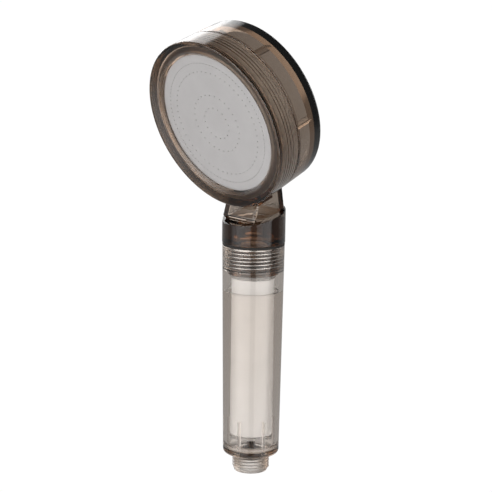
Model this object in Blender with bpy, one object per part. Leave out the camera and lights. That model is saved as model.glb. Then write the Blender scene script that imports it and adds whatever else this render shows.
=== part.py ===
"""Handheld shower head: a clear smoked handle with a filter cartridge, and a drum head that unscrews.

The handle stands on its hose thread along +Z, and the spray face looks towards -Y and a little down.
Lengths are in millimetres; MM turns them into metres where geometry is made.
"""
import math

import bmesh
import bpy
from mathutils import Matrix, Vector

MM = 0.001
HANDLE_SEGMENTS = 28
DRUM_SEGMENTS = 48
GAP = 0.3
OVERCUT = 30.0
SMALL_CHAMFER = 0.4
MOUTH_CHAMFER = 0.7

# Hose nipple: standard G 1/2 male pipe thread.
PIPE_MAJOR_R = 20.955 / 2
PIPE_MINOR_R = 18.631 / 2
PIPE_PITCH = 1.814
NIPPLE_LENGTH = 10.4
NIPPLE_BORE_R = 6.5
NIPPLE_CHAMFER = 0.5
PIPE_THREAD_LOW = 1.5
PIPE_THREAD_HIGH = 9.5
PIPE_ROOT_BURIED = 0.3
PIPE_ROOT_GAP = 0.1

# Handle tube: a slow taper, widening towards the head.
HANDLE_R = 15.68
HANDLE_TAPER = 0.013
HANDLE_TOP = 130.8
SHOULDER_FILLET = 2.5
FILTER_BORE_R = 13.5
BOWL_FLOOR = 12.6
BOWL_R = 5.0
THREAD_BORE_START = 105.0
THREAD_BORE_STEP = 0.2
RIB_COUNT = 6
RIB_WIDTH = 1.6
RIB_INNER_R = 12.35
RIB_BOTTOM = 13.6
RIB_TOP = 31.4
RIB_PHASE = -73.0
RIB_BURIED = 0.6

# Flow ring in the mouth of the nipple's bore.
INLET_BORE_R = 3.5
INLET_NECK_R = 4.6
INLET_TIP_R = 4.4
INLET_BOTTOM = 6.0
INLET_SHOULDER = 12.0
INLET_TOP = 13.6

# Screw joint between handle and neck, and the one between face ring and rear housing.
SCREW_PITCH = 2.0
RIDGE_HEIGHT = 1.1
RIDGE_ROOT_WIDTH = 1.4
FLANK_CLEARANCE = 0.2
RIDGE_BURIED = 0.4
BORE_CLEARANCE = 0.4
THREAD_FADE = math.radians(50)
GROOVE_OVERRUN = 1.2
HANDLE_GROOVE_LEAD = 1.0
RING_GROOVE_LEAD = 0.4

# Neck: threaded spigot, gasket, collar and a square duct up to the drum.
SPIGOT_R = 14.3
SPIGOT_BOTTOM = 115.0
SPIGOT_CHAMFER = 0.6
SPIGOT_THREAD_LOW = 117.8
SPIGOT_THREAD_HIGH = 129.4
NECK_BORE_R = 7.7
NECK_BORE_TOP = 138.0
NECK_BORE_FILLET = 3.0
PASSAGE_R = 5.0
PASSAGE_TOP = 149.0
GASKET_THICKNESS = 1.0
GASKET_R = 17.4
COLLAR_BOTTOM = HANDLE_TOP + GASKET_THICKNESS + 2 * GAP
COLLAR_R = 17.6
COLLAR_TOP = 148.2
COLLAR_TOP_SLOPE = 13.8
DUCT_HALF_WIDTH = 12.35
DUCT_FOOT_HALF_WIDTH = 9.4
DUCT_FOOT = 143.0
DUCT_FULL = 147.2
DUCT_TOP = 172.0
DUCT_FRONT_SLOPE = 0.31
DUCT_REAR_SLOPE = 0.16
DUCT_CORNER_R = 1.0
DUCT_WALL = 2.5
DUCT_FLOOR = 146.5

# Drum head: its axis leaves the front face forwards and downwards.
HEAD_CENTRE = Vector((0.0, -32.03, 200.19))
HEAD_TILT = 19.25
HEAD_DEPTH = 35.8
FACE_R = 48.8
BACK_R = 47.3
FACE_FILLET = 0.8
BACK_FILLET = 2.6
SEAM_DEPTH = 16.0
SEAM_GAP = 0.4
DRUM_RIM_DEPTH = 5.3
DRUM_CORE_R = 45.5
DRUM_BORE_R = 42.6
SEAT_R = 39.0
SEAT_THICKNESS = 2.0
DRUM_WALL = 3.3
DRUM_FLOOR = 2.4
CHAMBER_CHAMFER_WIDTH = 5.5
CHAMBER_CHAMFER_HEIGHT = 6.4
SHOULDER_THICKNESS = 3.0
DRUM_THREAD_FRONT = 6.5
DRUM_THREAD_BACK = 14.9
RING_CLEARANCE = 0.7
WEB_COUNT = 6
WEB_PHASE = -5.0
WEB_WIDTH = 2.0
WEB_INNER_R = 40.0
WEB_BURIED = 0.4

# Face ring: the rim dishes inwards, then slants down to a lip that overlaps the spray plate.
RIM_INNER_R = 47.4
DISH_R = 42.2
DISH_DEPTH = 1.1
LIP_FRONT_DEPTH = 2.7
LIP_DEPTH = 3.1
RING_SHOULDER_DEPTH = 5.1

# Spray plate: rings of small three-cornered jets as (share of the open radius, number of jets).
PLATE_R = 41.2
PLATE_FRONT = 3.3
PLATE_THICKNESS = 0.8
PLATE_OPEN_R = 40.0
JET_R = 0.35
JET_OVERCUT = 1.0
JET_RINGS = ((0.88, 90), (0.755, 54), (0.415, 28), (0.225, 16))
PLATE_CLEARANCE = 0.2

# Filter cartridge.
SLEEVE_R = 12.0
SLEEVE_BORE_R = 6.6
TOP_CAP_R = 12.7
SLEEVE_BOTTOM = 22.3
SLEEVE_TOP = 112.7
CORE_R = 6.3
CORE_BORE_R = 5.1
WINDOW_ROWS = 4
WINDOW_WIDTH = 3.0
WINDOW_HEIGHT = 14.0
WINDOW_TURN = 7.5
CAP_THICKNESS = 1.7
CAP_PLUG_LENGTH = 4.0
CAP_BORE_R = 3.6
PIN_R = 2.3
PIN_BOTTOM = 12.4
PIN_CHAMFER = 0.5
NOZZLE_R = 6.9
NOZZLE_TOP = 125.0
NOZZLE_CHAMFER = 0.6
SEAL_HEIGHT = 120.0
SEAL_SECTION_R = 0.7
SEAL_GROOVE_DEPTH = 1.1
SEAL_GROOVE_SPARE = 0.25


def clear_scene():
    """Remove every object of the open scene."""
    for thing in list(bpy.data.objects):
        bpy.data.objects.remove(thing, do_unlink=True)


def plain_material(name, colour, roughness, metallic=0.0, transmission=0.0):
    """One Principled material."""
    made = bpy.data.materials.new(name)
    made.use_nodes = True
    shader = made.node_tree.nodes["Principled BSDF"]
    shader.inputs["Base Color"].default_value = (*colour, 1.0)
    shader.inputs["Roughness"].default_value = roughness
    shader.inputs["Metallic"].default_value = metallic
    shader.inputs["Transmission Weight"].default_value = transmission
    made.diffuse_color = (*colour, 1.0)
    return made


def add_object(name, mesh, material=None, parent=None):
    """Link a mesh as an object, smooth where it is round."""
    mesh.shade_smooth()
    mesh.set_sharp_from_angle(angle=math.radians(35))
    made = bpy.data.objects.new(name, mesh)
    bpy.context.collection.objects.link(made)
    if material:
        mesh.materials.append(material)
    made.parent = parent
    return made


def finish_mesh(name, bm):
    """Close a bmesh, turn its faces outwards and store it as a mesh."""
    bmesh.ops.remove_doubles(bm, verts=bm.verts, dist=1e-7)
    bmesh.ops.recalc_face_normals(bm, faces=bm.faces)
    mesh = bpy.data.meshes.new(name)
    bm.to_mesh(mesh)
    bm.free()
    return mesh


def arc(centre, radius, start, end, steps=5):
    """Points of a circular arc in the (radius, height) plane; angles in degrees."""
    angles = [math.radians(start + (end - start) * i / steps) for i in range(steps + 1)]
    return [(centre[0] + radius * math.cos(a), centre[1] + radius * math.sin(a)) for a in angles]


def lathe(name, profile, segments, turned=0.0):
    """Spin a closed (radius, height) outline about Z, from an angle given in segments."""
    start = math.tau * turned / segments
    bm = bmesh.new()
    verts = [bm.verts.new((r * MM * math.cos(start), r * MM * math.sin(start), z * MM))
             for r, z in profile]
    edges = [bm.edges.new((verts[i - 1], verts[i])) for i in range(len(verts))]
    bmesh.ops.spin(bm, geom=verts + edges, angle=math.tau, steps=segments, axis=(0, 0, 1),
                   cent=(0, 0, 0), use_merge=True)
    bmesh.ops.remove_doubles(bm, verts=bm.verts, dist=1e-7)
    axis_edges = [e for e in bm.edges if not e.link_faces]
    bmesh.ops.delete(bm, geom=axis_edges, context="EDGES")
    poles = [v for v in bm.verts if v.co.xy.length < 1e-7]
    bmesh.ops.dissolve_verts(bm, verts=poles)
    return finish_mesh(name, bm)


def loft(name, sections):
    """Skin a row of equal-length closed sections and cap both ends; points in millimetres."""
    bm = bmesh.new()
    rings = [[bm.verts.new(Vector(point) * MM) for point in section] for section in sections]
    for lower, upper in zip(rings, rings[1:]):
        for i in range(len(lower)):
            bm.faces.new((lower[i - 1], lower[i], upper[i], upper[i - 1]))
    bm.faces.new(rings[0])
    bm.faces.new(rings[-1])
    return finish_mesh(name, bm)


def helical_band(name, pitch, phase, span, root, crest_r, segments, fades):
    """A screw thread's ridge, or the cutter for its groove, as a right-handed closed V band.

    root is (radius, width); fades says which ends run out into the root.
    """
    low, high = span
    steps = math.ceil((high - low) / pitch * segments)
    turn = math.tau * (high - low) / pitch
    start = math.tau * (low - phase) / pitch
    sections = []
    for i in range(steps + 1):
        swept = turn * i / steps
        height = low + (high - low) * i / steps
        rise = min(
            swept / THREAD_FADE if fades[0] else 1.0,
            (turn - swept) / THREAD_FADE if fades[1] else 1.0,
            1.0,
        )
        reach = root[0] + (crest_r - root[0]) * max(rise, 0.05)
        outline = ((root[0], -root[1] / 2), (reach, 0.0), (root[0], root[1] / 2))
        angle = start + swept
        sections.append([(r * math.cos(angle), r * math.sin(angle), height + z) for r, z in outline])
    return loft(name, sections)


def male_thread(name, core_r, phase, span, segments):
    """Ridge that stands on a core of radius core_r, its root buried in the core."""
    root = (core_r - RIDGE_BURIED, RIDGE_ROOT_WIDTH * (1 + RIDGE_BURIED / RIDGE_HEIGHT))
    return helical_band(name, SCREW_PITCH, phase, span, root, core_r + RIDGE_HEIGHT, segments,
                        (True, True))


def groove_cutter(name, core_r, phase, span, segments, fades):
    """Cutter for the groove that runs clear of the ridge of male_thread."""
    width = RIDGE_ROOT_WIDTH + 2 * FLANK_CLEARANCE
    depth = RIDGE_HEIGHT * width / RIDGE_ROOT_WIDTH
    return helical_band(name, SCREW_PITCH, phase, span, (core_r, width), core_r + depth, segments,
                        fades)


def tool(name, mesh, parent=None):
    """A Boolean operand: shown as wire and left out of the part."""
    made = add_object(name, mesh, parent=parent)
    made.hide_render = True
    made.display_type = "WIRE"
    return made


def boolean(target, operand, operation):
    """Add an exact Boolean modifier."""
    step = target.modifiers.new(operand.name, "BOOLEAN")
    step.operation = operation
    step.solver = "EXACT"
    step.object = operand


def block(name, low, high, turn=0.0):
    """A box between two corners, turned about Z by an angle in degrees."""
    rotation = Matrix.Rotation(math.radians(turn), 4, "Z")
    corners = ((low[0], low[1]), (high[0], low[1]), (high[0], high[1]), (low[0], high[1]))
    sections = [[rotation @ Vector((x, y, z)) for x, y in corners] for z in (low[2], high[2])]
    return loft(name, sections)


def joined(name, meshes):
    """One mesh that holds several closed shapes."""
    bm = bmesh.new()
    for mesh in meshes:
        bm.from_mesh(mesh)
    return finish_mesh(name, bm)


def wall_r(height):
    """Outer radius of the handle tube at a height."""
    return HANDLE_R + HANDLE_TAPER * height


def handle_tube(material):
    """Nipple, tapered tube, filter bore with guide ribs, and the female thread for the neck."""
    shoulder_r = wall_r(NIPPLE_LENGTH)
    thread_bore_r = SPIGOT_R + BORE_CLEARANCE
    fillet_centre = (shoulder_r - SHOULDER_FILLET, NIPPLE_LENGTH + SHOULDER_FILLET)
    outline = [(NIPPLE_BORE_R, 0.0), (PIPE_MINOR_R - NIPPLE_CHAMFER, 0.0)]
    outline += [(PIPE_MINOR_R, NIPPLE_CHAMFER)]
    outline += [(PIPE_MINOR_R, NIPPLE_LENGTH)]
    outline += arc(fillet_centre, SHOULDER_FILLET, -90, 0)
    outline += [(wall_r(HANDLE_TOP), HANDLE_TOP)]
    outline += [(thread_bore_r + MOUTH_CHAMFER, HANDLE_TOP)]
    outline += [(thread_bore_r, HANDLE_TOP - MOUTH_CHAMFER), (thread_bore_r, THREAD_BORE_START)]
    outline += [(FILTER_BORE_R, THREAD_BORE_START - THREAD_BORE_STEP)]
    outline += arc((FILTER_BORE_R - BOWL_R, BOWL_FLOOR + BOWL_R), BOWL_R, 0, -90)
    outline += [(NIPPLE_BORE_R, BOWL_FLOOR)]
    made = add_object("handle_tube", lathe("handle_tube", outline, HANDLE_SEGMENTS), material)

    pipe_root = (PIPE_MINOR_R - PIPE_ROOT_BURIED, PIPE_PITCH - PIPE_ROOT_GAP)
    pipe_span = (PIPE_THREAD_LOW, PIPE_THREAD_HIGH)
    ridge = helical_band("pipe_thread", PIPE_PITCH, 0.0, pipe_span, pipe_root, PIPE_MAJOR_R,
                         HANDLE_SEGMENTS, (True, True))
    boolean(made, tool("pipe_thread", ridge), "UNION")
    groove_span = (SPIGOT_THREAD_LOW - HANDLE_GROOVE_LEAD, HANDLE_TOP + GROOVE_OVERRUN)
    groove = groove_cutter("neck_groove", SPIGOT_R, HANDLE_TOP, groove_span, HANDLE_SEGMENTS,
                           (True, False))
    boolean(made, tool("neck_groove", groove), "DIFFERENCE")
    ribs = []
    for i in range(RIB_COUNT):
        low = (RIB_INNER_R, -RIB_WIDTH / 2, RIB_BOTTOM)
        high = (FILTER_BORE_R + RIB_BURIED, RIB_WIDTH / 2, RIB_TOP)
        ribs.append(block("rib", low, high, RIB_PHASE + i * 360 / RIB_COUNT))
    boolean(made, tool("guide_ribs", joined("guide_ribs", ribs)), "UNION")


def inlet_ring(material):
    """Flow ring in the nipple's bore; the cartridge's pin stands in it."""
    rim_r = NIPPLE_BORE_R - GAP
    outline = [(INLET_BORE_R, INLET_BOTTOM), (rim_r, INLET_BOTTOM), (rim_r, INLET_SHOULDER)]
    outline += [(INLET_NECK_R, INLET_SHOULDER), (INLET_TIP_R, INLET_TOP), (INLET_BORE_R, INLET_TOP)]
    add_object("inlet_ring", lathe("inlet_ring", outline, 24), material)


def filter_cartridge(materials):
    """Cotton sleeve on a slotted core, with end caps, locating pin and top seal."""
    sleeve = [(SLEEVE_BORE_R, SLEEVE_BOTTOM), (SLEEVE_R, SLEEVE_BOTTOM)]
    sleeve += [(SLEEVE_R, SLEEVE_TOP), (SLEEVE_BORE_R, SLEEVE_TOP)]
    add_object("filter_sleeve", lathe("filter_sleeve", sleeve, 40), materials["cotton"])

    core = [(CORE_BORE_R, SLEEVE_BOTTOM), (CORE_R, SLEEVE_BOTTOM)]
    core += [(CORE_R, SLEEVE_TOP), (CORE_BORE_R, SLEEVE_TOP)]
    made = add_object("filter_core", lathe("filter_core", core, 24), materials["white"])
    windows = []
    row_step = (SLEEVE_TOP - SLEEVE_BOTTOM) / WINDOW_ROWS
    for row in range(WINDOW_ROWS):
        middle = SLEEVE_BOTTOM + (row + 0.5) * row_step
        turn = WINDOW_TURN + 45 * (row % 2)
        half = (CORE_R + 1.0, WINDOW_WIDTH / 2, WINDOW_HEIGHT / 2)
        for angle in (turn, turn + 90):
            low = (-half[0], -half[1], middle - half[2])
            high = (half[0], half[1], middle + half[2])
            windows.append(block("window", low, high, angle))
    crossed = [tool(f"core_windows_{side}", joined("core_windows", windows[side::2])) for side in (0, 1)]
    for cutter in crossed:
        boolean(made, cutter, "DIFFERENCE")

    cap_low = SLEEVE_BOTTOM - GAP - CAP_THICKNESS
    plug_top = SLEEVE_BOTTOM + CAP_PLUG_LENGTH
    plug_r = CORE_BORE_R - GAP
    cap = [(0.0, cap_low), (SLEEVE_R, cap_low), (SLEEVE_R, SLEEVE_BOTTOM - GAP)]
    cap += [(plug_r, SLEEVE_BOTTOM - GAP), (plug_r, plug_top), (0.0, plug_top)]
    add_object("filter_bottom_cap", lathe("filter_bottom_cap", cap, 40), materials["clear"])

    pin = [(0.0, PIN_BOTTOM), (PIN_R - PIN_CHAMFER, PIN_BOTTOM), (PIN_R, PIN_BOTTOM + PIN_CHAMFER)]
    pin += [(PIN_R, cap_low - GAP), (0.0, cap_low - GAP)]
    add_object("filter_pin", lathe("filter_pin", pin, 20), materials["brown"])

    top_low = SLEEVE_TOP + GAP
    top_high = SPIGOT_BOTTOM - GAP
    plug_bottom = SLEEVE_TOP - CAP_PLUG_LENGTH
    groove_r = NOZZLE_R - SEAL_GROOVE_DEPTH
    half_groove = SEAL_SECTION_R + SEAL_GROOVE_SPARE
    top = [(CAP_BORE_R, plug_bottom), (plug_r, plug_bottom), (plug_r, top_low), (TOP_CAP_R, top_low)]
    top += [(TOP_CAP_R, top_high), (NOZZLE_R, top_high), (NOZZLE_R, SEAL_HEIGHT - half_groove)]
    top += [(groove_r, SEAL_HEIGHT - half_groove), (groove_r, SEAL_HEIGHT + half_groove)]
    top += [(NOZZLE_R, SEAL_HEIGHT + half_groove), (NOZZLE_R, NOZZLE_TOP - NOZZLE_CHAMFER)]
    top += [(NOZZLE_R - NOZZLE_CHAMFER, NOZZLE_TOP), (CAP_BORE_R, NOZZLE_TOP)]
    add_object("filter_top_cap", lathe("filter_top_cap", top, 28), materials["clear"])

    seal_centre = (groove_r + 0.1 + SEAL_SECTION_R, SEAL_HEIGHT)
    section = arc(seal_centre, SEAL_SECTION_R, 0, 360, 8)[:-1]
    add_object("filter_seal", lathe("filter_seal", section, 24), materials["rubber"])


def neck_gasket(material):
    """Flat seal in the joint between handle and collar."""
    low = HANDLE_TOP + GAP
    outline = [(SPIGOT_R + GAP, low), (GASKET_R, low), (GASKET_R, low + GASKET_THICKNESS)]
    outline += [(SPIGOT_R + GAP, low + GASKET_THICKNESS)]
    add_object("neck_gasket", lathe("neck_gasket", outline, 40), material)


def rounded_rectangle(half_x, front, back, corner, height):
    """Closed outline with rounded corners at one height."""
    points = []
    centres = (
        (half_x - corner, back - corner, 0),
        (corner - half_x, back - corner, 90),
        (corner - half_x, front + corner, 180),
        (half_x - corner, front + corner, 270),
    )
    for x, y, start in centres:
        points += [(px, py, height) for px, py in arc((x, y), corner, start, start + 90, 3)]
    return points


def duct_sections(inset):
    """Square duct that narrows towards the drum, inset from its outer faces."""
    rise = DUCT_TOP - DUCT_FULL
    foot = DUCT_FOOT_HALF_WIDTH
    full = DUCT_HALF_WIDTH
    levels = (
        (DUCT_FOOT, foot, -foot, foot),
        (DUCT_FULL, full, -full, full),
        (DUCT_TOP, full, rise * DUCT_FRONT_SLOPE - full, full - rise * DUCT_REAR_SLOPE),
    )
    return [rounded_rectangle(half - inset, front + inset, back - inset, DUCT_CORNER_R, height)
            for height, half, front, back in levels]


def rear_housing(material, head):
    """Spigot, collar, duct and drum shell as one moulding, turning about the handle's axis."""
    trimmed_top = COLLAR_TOP + OVERCUT
    spigot = [(0.0, SPIGOT_BOTTOM), (SPIGOT_R - SPIGOT_CHAMFER, SPIGOT_BOTTOM)]
    spigot += [(SPIGOT_R, SPIGOT_BOTTOM + SPIGOT_CHAMFER), (SPIGOT_R, COLLAR_BOTTOM)]
    spigot += [(COLLAR_R - SMALL_CHAMFER, COLLAR_BOTTOM), (COLLAR_R, COLLAR_BOTTOM + SMALL_CHAMFER)]
    spigot += [(COLLAR_R, trimmed_top), (0.0, trimmed_top)]
    made = add_object("rear_housing", lathe("rear_housing", spigot, HANDLE_SEGMENTS), material)

    slope = math.tan(math.radians(COLLAR_TOP_SLOPE))
    reach = 2 * COLLAR_R
    corners = ((-reach, -reach), (reach, -reach), (reach, reach), (-reach, reach))
    slanted = [[(x, y, COLLAR_TOP + slope * y + lift) for x, y in corners]
               for lift in (0.0, 2 * OVERCUT)]
    boolean(made, tool("collar_trim", loft("collar_trim", slanted)), "DIFFERENCE")

    duct = tool("duct", loft("duct", duct_sections(0.0)))
    swept = [(0.0, OVERCUT), (FACE_R + RING_CLEARANCE, OVERCUT)]
    sweep_end = -SEAM_DEPTH - 1.5 * SEAM_GAP
    swept += [(FACE_R + RING_CLEARANCE, sweep_end), (0.0, sweep_end)]
    boolean(duct, tool("ring_sweep", lathe("ring_sweep", swept, DRUM_SEGMENTS, 0.25), head), "DIFFERENCE")
    boolean(made, duct, "UNION")

    shoulder = SEAM_DEPTH + SEAM_GAP
    side_r = FACE_R + (BACK_R - FACE_R) * shoulder / HEAD_DEPTH
    drum = [(0.0, -DRUM_RIM_DEPTH), (DRUM_CORE_R - SMALL_CHAMFER, -DRUM_RIM_DEPTH)]
    drum += [(DRUM_CORE_R, -DRUM_RIM_DEPTH - SMALL_CHAMFER), (DRUM_CORE_R, -shoulder)]
    drum += [(side_r, -shoulder)]
    drum += arc((BACK_R - BACK_FILLET, BACK_FILLET - HEAD_DEPTH), BACK_FILLET, 0, -90)
    drum += [(0.0, -HEAD_DEPTH)]
    boolean(made, tool("drum", lathe("drum", drum, DRUM_SEGMENTS), head), "UNION")

    wall_inner = BACK_R - DRUM_WALL
    floor = HEAD_DEPTH - DRUM_FLOOR
    step = shoulder + SHOULDER_THICKNESS
    seat_back = DRUM_RIM_DEPTH + SEAT_THICKNESS
    chamber = [(0.0, OVERCUT), (SEAT_R, OVERCUT), (SEAT_R, -seat_back)]
    chamber += [(DRUM_BORE_R, -seat_back), (DRUM_BORE_R, -step)]
    chamber += [(wall_inner, -step), (wall_inner, CHAMBER_CHAMFER_HEIGHT - floor)]
    chamber += [(wall_inner - CHAMBER_CHAMFER_WIDTH, -floor), (0.0, -floor)]
    boolean(made, tool("chamber", lathe("chamber", chamber, DRUM_SEGMENTS, 0.5), head), "DIFFERENCE")

    webs = []
    for i in range(WEB_COUNT):
        low = (WEB_INNER_R, -WEB_WIDTH / 2, -floor - WEB_BURIED)
        high = (wall_inner + WEB_BURIED, WEB_WIDTH / 2, WEB_BURIED - step)
        webs.append(block("web", low, high, WEB_PHASE + i * 360 / WEB_COUNT))
    boolean(made, tool("webs", joined("webs", webs), head), "UNION")

    hollow = tool("duct_hollow", loft("duct_hollow", duct_sections(DUCT_WALL)))
    roof_r = FACE_R + RING_CLEARANCE + DUCT_WALL
    roof_end = -step - SEAM_GAP
    roof = [(0.0, OVERCUT), (roof_r, OVERCUT), (roof_r, roof_end), (0.0, roof_end)]
    boolean(hollow, tool("duct_roof", lathe("duct_roof", roof, DRUM_SEGMENTS, 0.5), head), "DIFFERENCE")
    floor_trim = block("duct_floor", (-reach, -reach, DUCT_FLOOR - OVERCUT), (reach, reach, DUCT_FLOOR))
    boolean(hollow, tool("duct_floor", floor_trim), "DIFFERENCE")
    boolean(made, hollow, "DIFFERENCE")

    bore_end = SPIGOT_BOTTOM - OVERCUT
    dome_centre = (NECK_BORE_R - NECK_BORE_FILLET, NECK_BORE_TOP - NECK_BORE_FILLET)
    bore = [(0.0, bore_end), (NECK_BORE_R, bore_end)]
    bore += arc(dome_centre, NECK_BORE_FILLET, 0, 70)
    bore += [(PASSAGE_R, NECK_BORE_TOP), (PASSAGE_R, PASSAGE_TOP), (0.0, PASSAGE_TOP)]
    boolean(made, tool("neck_bore", lathe("neck_bore", bore, HANDLE_SEGMENTS - 4, 0.5)), "DIFFERENCE")

    spigot_ridge = male_thread("spigot_thread", SPIGOT_R, HANDLE_TOP,
                               (SPIGOT_THREAD_LOW, SPIGOT_THREAD_HIGH), HANDLE_SEGMENTS)
    boolean(made, tool("spigot_thread", spigot_ridge), "UNION")
    drum_ridge = male_thread("drum_thread", DRUM_CORE_R, 0.0,
                             (-DRUM_THREAD_BACK, -DRUM_THREAD_FRONT), DRUM_SEGMENTS)
    boolean(made, tool("drum_thread", drum_ridge, head), "UNION")


def face_ring(material, head):
    """Front ring: dished rim with a lip over the plate, and the female thread."""
    side_r = FACE_R + (BACK_R - FACE_R) * SEAM_DEPTH / HEAD_DEPTH
    bore_r = DRUM_CORE_R + BORE_CLEARANCE
    pocket_r = PLATE_R + PLATE_CLEARANCE
    outline = [(PLATE_OPEN_R, -LIP_DEPTH), (PLATE_OPEN_R, -LIP_FRONT_DEPTH)]
    outline += [(DISH_R, -DISH_DEPTH), (RIM_INNER_R, 0.0)]
    outline += arc((FACE_R - FACE_FILLET, -FACE_FILLET), FACE_FILLET, 90, 0)
    outline += [(side_r, -SEAM_DEPTH), (bore_r + MOUTH_CHAMFER, -SEAM_DEPTH)]
    outline += [(bore_r, MOUTH_CHAMFER - SEAM_DEPTH)]
    outline += [(bore_r, -RING_SHOULDER_DEPTH), (pocket_r, -RING_SHOULDER_DEPTH)]
    outline += [(pocket_r, -LIP_DEPTH)]
    made = add_object("face_ring", lathe("face_ring", outline, DRUM_SEGMENTS), material, head)
    groove = groove_cutter("ring_groove", DRUM_CORE_R, 0.0,
                           (-SEAM_DEPTH - GROOVE_OVERRUN, RING_GROOVE_LEAD - DRUM_THREAD_FRONT),
                           DRUM_SEGMENTS, (False, True))
    boolean(made, tool("ring_groove", groove, head), "DIFFERENCE")


def spray_plate(material, head):
    """Thin round plate with rings of punched jets."""
    front = -PLATE_FRONT
    back = front - PLATE_THICKNESS
    outline = [(0.0, front), (PLATE_R, front), (PLATE_R, back), (0.0, back)]
    made = add_object("spray_plate", lathe("spray_plate", outline, DRUM_SEGMENTS), material, head)
    jets = []
    for share, count in JET_RINGS:
        for i in range(count):
            turn = Matrix.Rotation(math.tau * i / count, 4, "Z")
            centre = turn @ Vector((share * PLATE_OPEN_R, 0.0, back - JET_OVERCUT))
            corners = [centre + turn @ Vector((JET_R * math.cos(a), JET_R * math.sin(a), 0.0))
                       for a in (0.0, math.tau / 3, 2 * math.tau / 3)]
            raised = [corner + Vector((0.0, 0.0, PLATE_THICKNESS + 2 * JET_OVERCUT)) for corner in corners]
            jets.append(loft("jet", (corners, raised)))
    boolean(made, tool("jets", joined("jets", jets), head), "DIFFERENCE")


def plate_gasket(material, head):
    """Flat seal behind the plate's edge, on the seat at the drum's rim."""
    front = -PLATE_FRONT - PLATE_THICKNESS - PLATE_CLEARANCE
    back = PLATE_CLEARANCE - DRUM_RIM_DEPTH
    outline = [(SEAT_R, front), (PLATE_R, front), (PLATE_R, back), (SEAT_R, back)]
    add_object("plate_gasket", lathe("plate_gasket", outline, DRUM_SEGMENTS), material, head)


def head_axis():
    """Empty at the middle of the spray face, its +Z along the way the water leaves."""
    made = bpy.data.objects.new("head_axis", None)
    bpy.context.collection.objects.link(made)
    made.location = HEAD_CENTRE * MM
    made.rotation_euler = (math.radians(90 + HEAD_TILT), 0.0, 0.0)
    return made


def build():
    """Make every piece of the shower head."""
    clear_scene()
    head = head_axis()
    smoked = plain_material("smoked_plastic", (0.22, 0.17, 0.13), 0.05, transmission=1.0)
    clear = plain_material("clear_plastic", (0.62, 0.54, 0.46), 0.08, transmission=1.0)
    materials = {
        "clear": clear,
        "cotton": plain_material("cotton", (0.86, 0.83, 0.8), 0.95),
        "white": plain_material("white_plastic", (0.8, 0.78, 0.75), 0.4),
        "brown": plain_material("brown_plastic", (0.05, 0.035, 0.025), 0.4),
        "rubber": plain_material("black_rubber", (0.02, 0.02, 0.02), 0.6),
    }
    steel = plain_material("spray_steel", (0.55, 0.54, 0.54), 0.35, metallic=1.0)
    handle_tube(clear)
    inlet_ring(materials["brown"])
    filter_cartridge(materials)
    neck_gasket(materials["rubber"])
    rear_housing(smoked, head)
    plate_gasket(materials["rubber"], head)
    spray_plate(steel, head)
    face_ring(smoked, head)


build()
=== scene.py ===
"""Looks of the handheld shower head: clear shells, screw threads, spray plate, filter and studio.

Lengths are in millimetres; MM turns them into metres. Heights run along the handle from the hose end.
"""
import math

import bmesh
import bpy
from mathutils import Matrix, Vector


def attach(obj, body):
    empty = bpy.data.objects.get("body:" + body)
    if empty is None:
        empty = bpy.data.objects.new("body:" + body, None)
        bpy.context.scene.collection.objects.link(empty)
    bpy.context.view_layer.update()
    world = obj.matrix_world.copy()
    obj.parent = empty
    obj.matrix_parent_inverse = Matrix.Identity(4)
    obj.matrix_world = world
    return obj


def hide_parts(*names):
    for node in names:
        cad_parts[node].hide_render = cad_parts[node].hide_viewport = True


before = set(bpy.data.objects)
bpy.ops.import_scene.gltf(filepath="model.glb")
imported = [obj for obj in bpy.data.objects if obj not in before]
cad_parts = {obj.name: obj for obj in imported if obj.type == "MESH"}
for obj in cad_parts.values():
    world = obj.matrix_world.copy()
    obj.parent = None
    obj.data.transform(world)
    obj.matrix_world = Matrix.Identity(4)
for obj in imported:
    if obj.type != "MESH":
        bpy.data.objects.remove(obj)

MM = 0.001
HANDLE_SEGMENTS = 112
DRUM_SEGMENTS = 176
ROWS_PER_PITCH = 10

# Camera, looking from the front right and a little above; angles in degrees.
VIEW_AZIMUTH = 46.04
VIEW_ELEVATION = 11.94
VIEW_ROLL = 0.75
VIEW_DISTANCE = 1098.5
VIEW_ASIDE = 3.81
VIEW_DOWN = -29.15
VIEW_TARGET_HEIGHT = 100.0
LENS = 143.63

# Studio by direction: radiance, and angles in degrees. In front, two soft boxes stand beside the
# lens, dimmer at their inner ends and feet, with a dark flag at each outer end. Behind are a wall,
# a lamp high on it, and the sweep below. Edges are how softly each of them begins and ends.
LENS_GAP = 8.0
LENS_EDGE = 5.0
LENS_LIGHT = 0.25
BOX_LIGHT = 3.2
BOX_INNER_SHARE = 0.65
BOX_FADE_END = 50.0
BOX_FOOT_SHARE = 0.5
BOX_FOOT_HEIGHT = (-0.25, 0.0)
BOX_RISE = 45.0
BOX_END = (75.0, 95.0)
FLAG_LIGHT = 0.2
FLAG_SIDE = (66.0, 106.0)
FLAG_EDGE = 6.0
FLAG_FOOT = -26.0
LEFT_FLAG_SHARE = 0.4
MIDDLE_EDGE = (-0.05, 0.05)
LAMP_LIGHT = 2.9
LAMP_SIDE = (6.0, 50.0)
LAMP_EDGES = (2.0, 6.0)
LAMP_RISE = 44.0
WALL_LIGHT = 1.0
WALL_RISE = 24.0
CEILING_LIGHT = 0.15
RISE_EDGE = 4.0
SWEEP_LIGHT = 0.38
HORIZON_EDGE = (-0.04, 0.06)
BACKDROP_LIGHT = 1.02
FLOOR_R = 620.0
FLOOR_TOP = -355.0
FLOOR_THICKNESS = 5.0

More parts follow.
